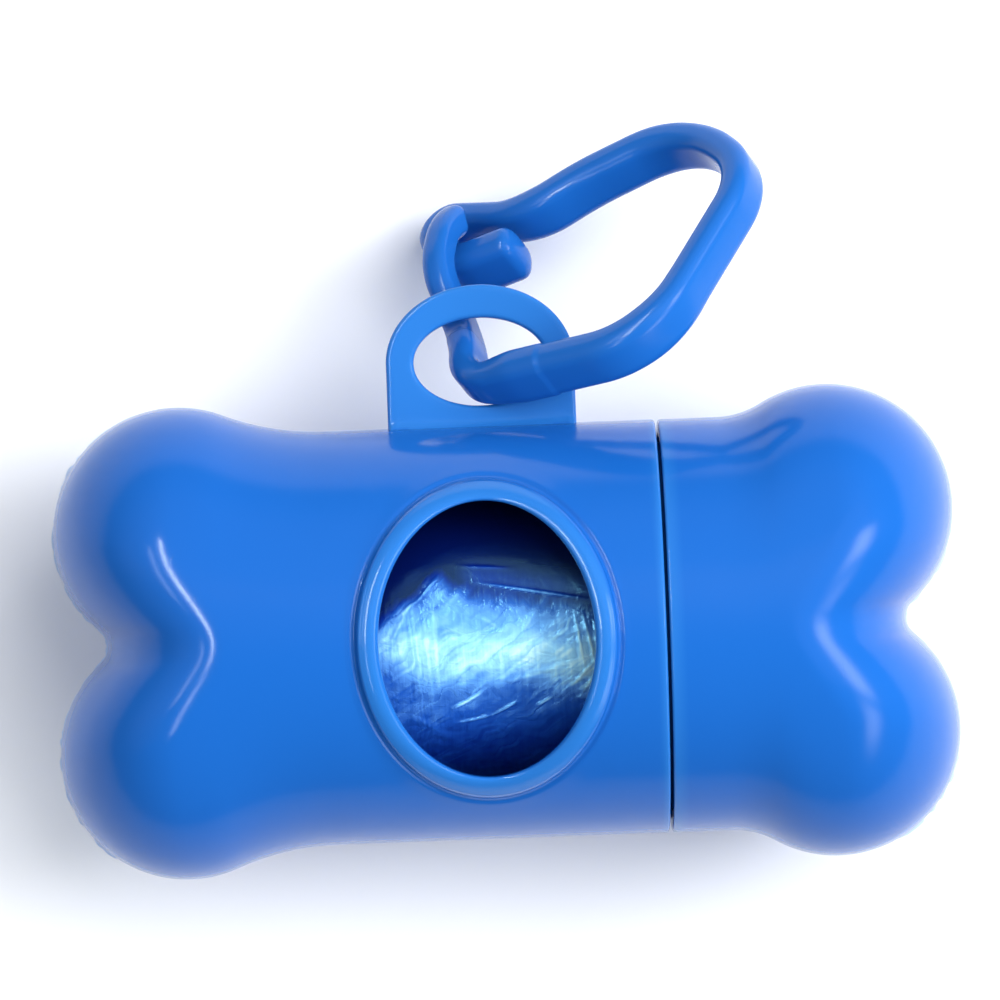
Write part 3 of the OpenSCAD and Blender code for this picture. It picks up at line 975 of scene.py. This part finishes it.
def parting_line(name, end, tube_x, body, stretches):
    """The line along an end's outline, full where it lies within one of the stretches in y."""
    columns = end[0].reshape(SIDES + 1, -1, 3)
    near, far = columns[QUARTER], columns[3 * QUARTER][::-1]
    tube = np.linspace(tube_x, near[0, 0], 30)[:-1, None]
    out = np.concatenate([tube, np.full_like(tube, TUBE_R), np.zeros_like(tube)], 1)
    path = np.concatenate([out, near, far[1:], out[::-1] * (1, -1, 1)])
    y = path[:, 1]
    full = sum(eased(y, low - 1, low + 1) * (1 - eased(y, high - 1, high + 1)) for low, high in stretches)
    left = eased(np.abs(path[:, 0]), 31, 38) * (LINE_WORN + (1 - LINE_WORN) * full)
    radii = LINE_ON_TUBE + (1 - LINE_ON_TUBE) * left
    points, faces = arrays_of(grown(line_tree, poly_curve((path + AXIS) * MM, radii), Plastic=fin_painted_highlight))
    return piece_of(name, [(points - AXIS, faces)], body, fin_painted_highlight, weld=0.0001)


parting_line("body_parting_line", body_end_outer, SEAM_X - 0.1, "body", [(-20, -6.5), (-1.5, 18)])
parting_line("cap_parting_line", cap_end_outer, CAP_FROM + 0.1, "cap", [(-21, -13), (0.5, 8)])

# %% [markdown]
# ## The snap clip
# The clip is one bent band of plastic: a loop, a leg that passes through the eye of the
# tab, and a hook that ends in a knob, with a springy arm between the band and the knob.
# It lies tilted, so its path is drawn flat in its own plane, along and across the clip,
# with its corners rounded by arcs. A tree sweeps a rounded rectangle along it: each point
# carries a radius, which swells the knob and rounds its end, and the depth across the
# plane can thin towards one end, as the springy arm's does.

# %% Corners of the clip
CLIP_T, CLIP_D, CLIP_ROUND = 2.8, 4.4, 1.2
GATE_T, GATE_D = 2.6, 2.8
CLIP_TURN, CLIP_LEAN = math.radians(37.3), math.radians(53)
EYE_POINT = np.array([TAB_X - 1.6, EYE_Y - 0.9, -0.8])
turn_cos, turn_sin = math.cos(CLIP_TURN), math.sin(CLIP_TURN)
CLIP_U = np.array([turn_cos, turn_sin, 0])
CLIP_V = np.array([turn_sin * math.cos(CLIP_LEAN), -turn_cos * math.cos(CLIP_LEAN), math.sin(CLIP_LEAN)])
CLIP_BACK = np.cross(CLIP_U, CLIP_V)

# along, across and out of the plane, and the length taken off to round the corner
HOOK_CORNERS = [
    (11.9, -9.1, 0, 0),
    (4.9, -13.1, 0, 3.4),
    (6.8, -22.0, 0, 3.9),
    (14.0, -12.05, 0, 3.6),
    (20.4, -10.75, 0, 2.6),
    (28.5, -7.4, 0, 3.0),
    (31.7, -2.5, 0, 2.7),
    (32.4, 5.4, 0, 4.5),
    (14.9, 15.5, 0, 6),
    (-0.6, 2.5, 0, 3.0),
    (1.3, -1.2, 0, 0.8),
    (1.8, -2.8, 0, 0),
]
GATE_CORNERS = [
    (1.8, -2.8, 0, 0),
    (2.3, -4.4, 0, 1.4),
    (4.3, -9.4, 4.6, 2.2),
    (7.2, -13.3, 4.7, 1.6),
    (9.0, -15.4, 3.1, 0),
]


# %% Path of the clip
CLOSER_OVER = 2.0  # millimetres at both ends of a path where its points crowd together


def rounded_path(corners, spacing):
    """Points at even spacing, closer at both ends, along straight runs joined by arcs."""
    corners = np.array(corners, float)
    spots = corners[:, :3]
    path = [spots[0]]
    for i in range(1, len(corners) - 1):
        before, after = spots[i] - spots[i - 1], spots[i + 1] - spots[i]
        before, after = before / np.linalg.norm(before), after / np.linalg.norm(after)
        turn = math.acos(before @ after)
        inwards = after - (before @ after) * before
        inwards /= np.linalg.norm(inwards)
        radius = corners[i, 3] / math.tan(turn / 2)
        centre = spots[i] - corners[i, 3] * before + radius * inwards
        for angle in np.linspace(0, turn, 40):
            path.append(centre + radius * (math.sin(angle) * before - math.cos(angle) * inwards))
    path = np.array([*path, spots[-1]])
    travelled = np.concatenate([[0], np.cumsum(np.linalg.norm(np.diff(path, axis=0), axis=1))])
    length = travelled[-1]
    near_end = CLOSER_OVER * (1 - np.cos(np.linspace(0, math.pi / 2, 16)))
    middle = np.arange(CLOSER_OVER + spacing, length - CLOSER_OVER, spacing)
    stops = np.concatenate([near_end, middle, length - near_end[::-1]])
    return np.stack([np.interp(stops, travelled, path[:, k]) for k in range(3)], -1), stops


def domed(travel, reach, power=2.4):
    """Shrinks the section over the first stretch of a path, as a blunt quarter of an oval does."""
    return np.clip(1 - (1 - np.clip(travel / reach, 0, 1)) ** power, 1e-5, 1) ** (1 / power)


# %% Geometry Nodes: band of the clip
tree, given, out = new_shaper("clip_band", {
    "Thickness": CLIP_T * MM,
    "Depth": CLIP_D * MM,
    "Rounding": CLIP_ROUND * MM,
    "Depth at the end": 1.0,
    "Thinned over": 1.0,
})


def kept(shape, name, value):
    """Stores a value on the curve's points, for the swept mesh to read."""
    values = {"Geometry": shape, "Name": name, "Value": value}
    node = add(tree, "GeometryNodeStoreNamedAttribute", values, data_type="FLOAT", domain="POINT")
    return node.outputs[0]


def read(name):
    """A stored value, at each point of the swept mesh."""
    return Sum(add(tree, "GeometryNodeInputNamedAttribute", {"Name": name}, data_type="FLOAT").outputs[0])


part = Sum(add(tree, "GeometryNodeSplineParameter").outputs["Factor"])
depth = part.spread(0.0, given["Thinned over"], 1.0, given["Depth at the end"])
upright = kept(level(tree, given["Geometry"]), "middle", place_of(tree)[2])
curve = kept(upright, "thin", depth)
box = box_section(tree, given["Thickness"], given["Depth"])
corners = {"Curve": box, "Count": 9, "Radius": given["Rounding"]}
section = add(tree, "GeometryNodeFilletCurve", corners, mode="POLY")
band = swept(tree, curve, section.outputs[0], curve_radius(tree))
band_x, band_y, band_z = place_of(tree)
thinned_z = (band_z - read("middle")) * read("thin") + read("middle")
end_shaper(tree, given, out, moved(tree, band, band_x, band_y, thinned_z))
band_tree = tree


def clip_piece(name, path, radii, body, **sizes):
    """Sweeps the band along a path in the clip's plane, and lays it where the clip is."""
    curve = poly_curve(path * (1, 1, -1) * MM, radii)
    points, faces = arrays_of(grown(band_tree, curve, Plastic=clip_plastic, **sizes))
    laid = EYE_POINT + points[:, :1] * CLIP_U + points[:, 1:2] * CLIP_V + points[:, 2:] * CLIP_BACK
    return piece_of(name, [(laid, faces)], body, clip_plastic, weld=0.001)


# %% Hook
hook_path, hook_travel = rounded_path(HOOK_CORNERS, 0.3)
to_end = hook_travel[-1] - hook_travel
in_eye = eased(to_end, 6.5, 11)
knob = 0.28 * (1 - eased(hook_travel, 6.2, 8.2))
upper_arm = 0.06 * eased(hook_travel, 20, 26) * in_eye
upper_bend = 0.1 * eased(hook_travel, 21, 27) * (1 - eased(hook_travel, 38, 46))
lower_arm = (0.12 * (1 - eased(to_end, 24, 32)) + 0.06 * (1 - eased(to_end, 13.8, 14.1))) * in_eye
hook_radii = (1 + knob + (upper_arm + upper_bend) + lower_arm) * domed(hook_travel, 1.5)
clip_hook = clip_piece("clip_hook_moulding", hook_path, hook_radii, "clip")
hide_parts("clip_hook")

# %% Gate
GATE_THINS_OVER = 0.5  # the share of its length over which the gate thins
GATE_GAP = 0.05

gate_path, gate_travel = rounded_path(GATE_CORNERS, 0.2)
gate_start = gate_path[1] - gate_path[0]
gate_path = gate_path + GATE_GAP * gate_start / np.linalg.norm(gate_start)
gate_thinning = np.clip(gate_travel / (GATE_THINS_OVER * gate_travel[-1]), 0, 1)
gate_radii = (1 + (GATE_T / CLIP_T - 1) * gate_thinning) * domed(gate_travel[-1] - gate_travel, 1.2)
gate_depth = {"Depth at the end": GATE_D / CLIP_D * CLIP_T / GATE_T, "Thinned over": GATE_THINS_OVER}
clip_gate = clip_piece("clip_gate_moulding", gate_path, gate_radii, "gate", **gate_depth)
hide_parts("clip_gate")

# %% [markdown]
# ## The roll of bags
# Through the hole the outermost bag shows, wound over the others. Its film is smooth but
# for what winding leaves: fine pleats that run round the roll, short crinkles at a slant,
# and a few sharp folds. The roll is a grid of points round the axis, finer where it shows.
# Each fold lifts the points near its line by a fraction of a millimetre, and waves with a
# wandering phase make the pleats and crinkles. The same folds and waves, seeded alike,
# shape the painted sheen and its cloudiness, so shape and colour agree.

# %% Folds
ROLL_R, ROLL_DROP, ROLL_HALF, BAG_GAP = 15.0, 0.9, 30.0, 0.05
CORE_R, BAGS = 5.0, 15
BAG_INNER_R = ROLL_R - (ROLL_R - CORE_R) / BAGS
FILM_R = ROLL_R - BAG_GAP

# folds: x and place round the roll at both ends, height and half width, in millimetres
FOLDS = [
    (-5.2, -6.9, -2.4, -5.3, 0.11, 0.16),
    (-5.0, -8.5, -1.6, -7.7, 0.11, 0.15),
    (-1.6, -7.7, 0.7, -6.4, 0.11, 0.15),
    (2.4, -6.9, 4.1, -5.9, 0.10, 0.15),
    (-4.3, 6.6, 0.8, 6.2, 0.05, 0.22),
    (-3.0, 5.0, 8.0, 2.9, 0.08, 0.2),
    (-8.2, 3.2, -6.2, 5.6, 0.07, 0.2),
    (-10.3, 1.6, -8.0, 3.6, 0.06, 0.2),
    (-2.9, 2.2, -0.2, 0.2, 0.05, 0.25),
    (2.6, 1.9, 1.4, 0.2, 0.05, 0.2),
    (-1.0, -4.6, 4.6, -3.2, 0.06, 0.3),
    (-6.0, -1.3, 6.2, -1.6, 0.04, 0.5),
    (-11.0, -1.0, -8.8, 3.0, 0.06, 0.2),
    (6.2, 2.0, 7.0, -3.6, 0.08, 0.16),
    (7.0, 1.6, 7.9, -2.6, 0.09, 0.14),
    (7.9, 1.2, 8.5, -2.2, 0.08, 0.12),
    (5.6, -5.2, 8.2, -2.4, 0.08, 0.16),
    (6.4, -6.2, 8.3, -3.4, 0.06, 0.14),
    (-9.5, -7.0, -4.0, -11.5, 0.05, 0.4),
    (1.5, -10.8, 7.5, -8.8, 0.04, 0.4),
]


def fold_lift(x, s):
    """How far the film stands up at x along and s round the roll."""
    lift = np.zeros_like(x)
    for x1, s1, x2, s2, height, width in FOLDS:
        run = np.array([x2 - x1, s2 - s1])
        share = np.clip(((x - x1) * run[0] + (s - s1) * run[1]) / (run @ run), 0, 1)
        away = np.hypot(x - x1 - share * run[0], s - s1 - share * run[1])
        lift += height * np.exp(-((away / width) ** 2)) * np.sin(math.pi * np.clip(share, 0.04, 0.96)) ** 0.5
    return lift


# %% Pleats and crinkles
def wander(places, spacing, seed):
    """A smooth random line from -1 to 1, with a new value at each spacing."""
    knots = np.random.default_rng(seed).uniform(-1, 1, 600)
    at = places / spacing + 300
    whole = np.floor(at).astype(int)
    part = (1 - np.cos((at - whole) * math.pi)) / 2
    return knots[whole] * (1 - part) + knots[whole + 1] * part


def hump(value, centre, reach):
    """A bell from 0 to 1."""
    return np.exp(-(((value - centre) / reach) ** 2))


def pleats(x, s):
    """Fine pleats that run round the roll and drift a little to the side, from -1 to 1."""
    drift = x + 0.5 * wander(s, 4.0, 1) + 0.15 * wander(s + 2 * x, 1.2, 2)
    slow = 0.5 + 0.5 * wander(s + 7 * np.floor(drift / 0.6), 3.0, 3)
    return slow * wander(drift, 0.34, 4) + 0.5 * wander(drift + 0.02 * s, 0.15, 5)


def crinkles(x, s):
    """Short creases that cross the roll at a slant, from -1 to 1."""
    across, down = 0.8 * s - 0.6 * x, 0.6 * s + 0.8 * x
    bent = across + 0.3 * wander(down, 1.1, 9)
    short = wander(down + 5 * np.floor(bent / 0.6), 1.6, 11)
    return wander(bent, 0.3, 10) * short + 0.3 * wander(bent, 1.3, 12)


def gathered(x):
    """How deep the pleats are, which is most near the ends of what shows."""
    return 0.3 + hump(x, -9.0, 2.6) + 0.9 * hump(x, 7.4, 1.2)


# %% Where the film gets its painted sheen
def sheen_and_cloudiness(x, s):
    """Painted sheen and some cloudiness: a ragged band over the top of the roll, brightest at its core."""
    ragged = s + 0.2 * pleats(x, s) + 0.7 * wander(x + 0.5 * s, 2.1, 6) + 0.35 * wander(x - 0.9 * s, 0.8, 7)
    top = np.interp(x, [-12, -10, -6.1, -2.9, 5.6, 8.5], [0.6, 2.3, 4.4, 2.8, 2.2, 1.2])
    bottom = np.interp(x, [-12, -7.7, -2.9, 1.3, 4.7, 8.5], [-1.8, -3.7, -4.1, -4.4, -5.4, -5.2])
    band = eased(-ragged, -top - 1.5, -top + 1.5) * eased(ragged, bottom - 1.9, bottom + 2.0)
    middle = np.interp(x, [-12, -8, -4, 6, 9], [-0.4, -0.5, -1.1, -1.7, -1.2])
    core = hump(ragged, middle, 1.4) * (1 + 0.9 * hump(x, -7.2, 2.4))
    # painted light on the side of the roll towards -Y; beyond the band towards +Y the sum is nought, which
    # leaves painted shade
    painted_light_low = (0.12 + 0.18 * eased(ragged, -12.5, -5.5)) * (1 - eased(ragged, -4, 1))
    # a faint painted sheen beyond the band towards +Y
    painted_sheen_high = 0.09 * hump(s, 4.9 - 0.19 * x, 1.3) * eased(x, -5, -2)
    streaks = 1 + 0.2 * gathered(x) * pleats(x, s) + 0.3 * crinkles(x, s)
    sheen_cloud = (0.49 * band + 0.12 * core * band) * streaks
    return np.clip(sheen_cloud + painted_light_low * (1 + 0.3 * crinkles(x, s)) + painted_sheen_high, 0, 1)


# %% The outermost bag
FILM_SLACK, PLEAT_LIFT, CRINKLE_LIFT = 0.07, 0.024, 0.014
# how much painted highlight the folds add, and the low even value at the roll's ends
CREASE_SHEEN, ENDS_SHEEN = 4.5, 0.1


def places_from(low, high, fine_low, fine_high, coarse, fine):
    """Places from low to high, closer together between fine_low and fine_high."""
    runs = [(low, fine_low, coarse), (fine_low, fine_high, fine), (fine_high, high, coarse)]
    return np.concatenate([np.arange(*run) for run in runs] + [[high]])


def around_roll(x, radius, turn):
    """Points of the roll, which lies on the floor of the bore, below the bone's axis."""
    return around_axis(x, radius, turn) - (0, 0, ROLL_DROP)


film_x = places_from(-ROLL_HALF, ROLL_HALF, -12.6, 9.4, 1.0, 0.11)
film_s = places_from(-math.pi * FILM_R, math.pi * FILM_R, -13.5, 12.5, 1.2, 0.13)[:-1]
x, s = np.meshgrid(film_x, film_s, indexing="ij")
loose = PLEAT_LIFT * gathered(x) * pleats(x, s) + CRINKLE_LIFT * crinkles(x, s)
film_radius = FILM_R - FILM_SLACK + fold_lift(x, s) + loose * eased(-s, -5, -1)
film_rows = around_roll(x, film_radius, s / FILM_R)
left_ring, right_ring = (around_roll(end, BAG_INNER_R, film_s / FILM_R) for end in (-ROLL_HALF, ROLL_HALF))
film_inside = skin([film_rows[-1], right_ring, left_ring, film_rows[0]])
outer_bag = piece_of("bag_15_film", [skin(film_rows), film_inside], "roll", outer_film)
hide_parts("bag_15")

film_points = arrays_of(outer_bag.data)[0] - AXIS + (0, 0, ROLL_DROP)
x, s = film_points[:, 0], FILM_R * np.arctan2(film_points[:, 1], film_points[:, 2])
crease = fold_lift(x, s)
# painted highlights along the folds over the top of the roll
crease_sheen = CREASE_SHEEN * crease * eased(crease, 0.01, 0.09) * eased(-np.abs(s), -9.5, -6)
on_side = np.abs(x) < ROLL_HALF - 0.5
paint(outer_bag, "cloud_and_sheen", np.where(on_side, sheen_and_cloudiness(x, s) + crease_sheen, ENDS_SHEEN))

# %% [markdown]
# ## The rest of the roll
# The inner bags and the core show only at the roll's ends, once the cap is off. Their CAD
# shapes are right as they are, so they stay, and only get their materials.

# %% Film and card on the CAD's own nodes
for node, finish in [(f"bag_{number:02d}", wound_film) for number in range(1, BAGS)] + [("roll_core", card)]:
    for material_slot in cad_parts[node].material_slots:
        material_slot.material = finish
print("the inner bags and the core keep their CAD shapes")

# %% [markdown]
# ## The table
# The dispenser lies on a plain white table, a wide sheet of slightly rough white that takes
# its soft shade. It is staged, because it isn't part of the object.

# %% The table
TABLE_HALF, TABLE_DROP = 3, 0.0002

table_mesh = bpy.data.meshes.new("table")
corners = [(x * TABLE_HALF, y * TABLE_HALF, 0) for x, y in ((-1, -1), (1, -1), (1, 1), (-1, 1))]
table_mesh.from_pydata(corners, [], [(0, 1, 2, 3)])
table = bpy.data.objects.new("table", table_mesh)
table.location.z = -TABLE_DROP
scene.collection.objects.link(table)
table_top, _, table_shader = new_material("table_top")
plug(table_shader, {"Base Color": (0.88, 0.885, 0.91, 1), "Roughness": 0.6})
table_mesh.materials.append(table_top)

# %% [markdown]
# ## Light
# The photograph is lit softly from above and from the right, and nothing in it has a hard
# shadow. A wide key light hangs to the right and a little to the back, and a weak fill to
# the left lifts the other side. Neither is seen in reflections, because its square outline
# would show in so glossy a plastic. Three thin tubes do the opposite: they light nothing
# and are only reflected, as the bright lines along the crests of the lobes.

# %% Lights
TUBE_COLOUR = (0.85, 0.95, 1)
TUBE_HEIGHT, AIM_X, AIM_HEIGHT = 0.7, -0.03, 0.02


def soft_light(name, place, target, size, power, colour=(1, 1, 1), seen=True, lights=True):
    """A rectangular light at a place, facing a target. Its size is given along Y and across."""
    data = bpy.data.lights.new(name, "AREA")
    data.shape = "RECTANGLE"
    data.size, data.size_y = size
    data.energy = power
    data.color = colour
    light = bpy.data.objects.new(name, data)
    scene.collection.objects.link(light)
    light.location = place
    light.rotation_euler = (Vector(target) - Vector(place)).to_track_quat("-Z", "Y").to_euler()
    light.visible_glossy, light.visible_diffuse = seen, lights
    print(name, "at", place)


def tube(name, x, y, length, width, power, colour=TUBE_COLOUR):
    """A thin light overhead, seen only as its reflection."""
    aim = (AIM_X, y, AIM_HEIGHT)
    soft_light(name, (x, y, TUBE_HEIGHT), aim, (length, width), power, colour, lights=False)


soft_light("key", (0.25, 0.14, 0.45), (0, 0, AIM_HEIGHT), (0.5, 0.5), 3.4, seen=False)
soft_light("fill", (-0.38, -0.08, 0.3), (AIM_X, 0, AIM_HEIGHT), (0.3, 0.3), 0.42, seen=False)
tube("tube_light", -0.27, 0.33, 0.72, 0.045, 6.0, (0.85, 0.97, 1))
tube("tube_light_front", -0.27, -0.26, 0.36, 0.06, 0.9)
tube("tube_light_far", -0.5, 0.25, 0.6, 0.06, 1.0)

# %% [markdown]
# ## The room
# The rest of what the plastic mirrors is a dim room with a paler ceiling to the back. To
# the right stands a soft window in two parts, which gives the right lobes their glow. Its
# edges are smooth steps in the direction of view, so no square shows in the gloss.

# %% The room
WINDOW_STRENGTH, CEILING_STRENGTH = 11.0, 0.36

world = bpy.data.worlds.new("room")
world.use_nodes = True
scene.world = world
room = world.node_tree
direction = add(room, "ShaderNodeTexCoord").outputs["Generated"]
way_x, way_y, way_z = (Sum(part) for part in add(room, "ShaderNodeSeparateXYZ", {0: direction}).outputs)


def ramp(value, start, end, low=0.0, high=1.0):
    """A smooth step of a Sum."""
    return value.spread(start, end, low, high, "SMOOTHSTEP")


def between(value, start, risen, falling, end):
    """A smooth rise and a smooth fall."""
    return ramp(value, start, risen) * ramp(value, falling, end, 1.0, 0.0)


lean = Sum.math("ARCTAN2", way_x, way_z)
window_high = between(way_y, -0.22, 0.08, 0.25, 0.45)
window_low = between(way_y, -0.9, -0.62, -0.4, -0.05)
window_glow = between(lean, 0.56, 0.8, 0.85, 1.12) * (window_high + window_low * 0.6)
ceiling = ramp(way_y, -0.25, 0.3) * ramp(way_z, 0.1, 0.5)
dim = ramp(way_z, -0.1, 0.7, 0.25, 0.2)
sky = next(node for node in room.nodes if node.type == "BACKGROUND")
plug(sky, {
    "Color": (0.93, 0.97, 1.0, 1),
    "Strength": window_glow * WINDOW_STRENGTH + ceiling * CEILING_STRENGTH + dim,
})
scene.view_settings.view_transform = "Standard"
print("room:", len(room.nodes), "nodes")
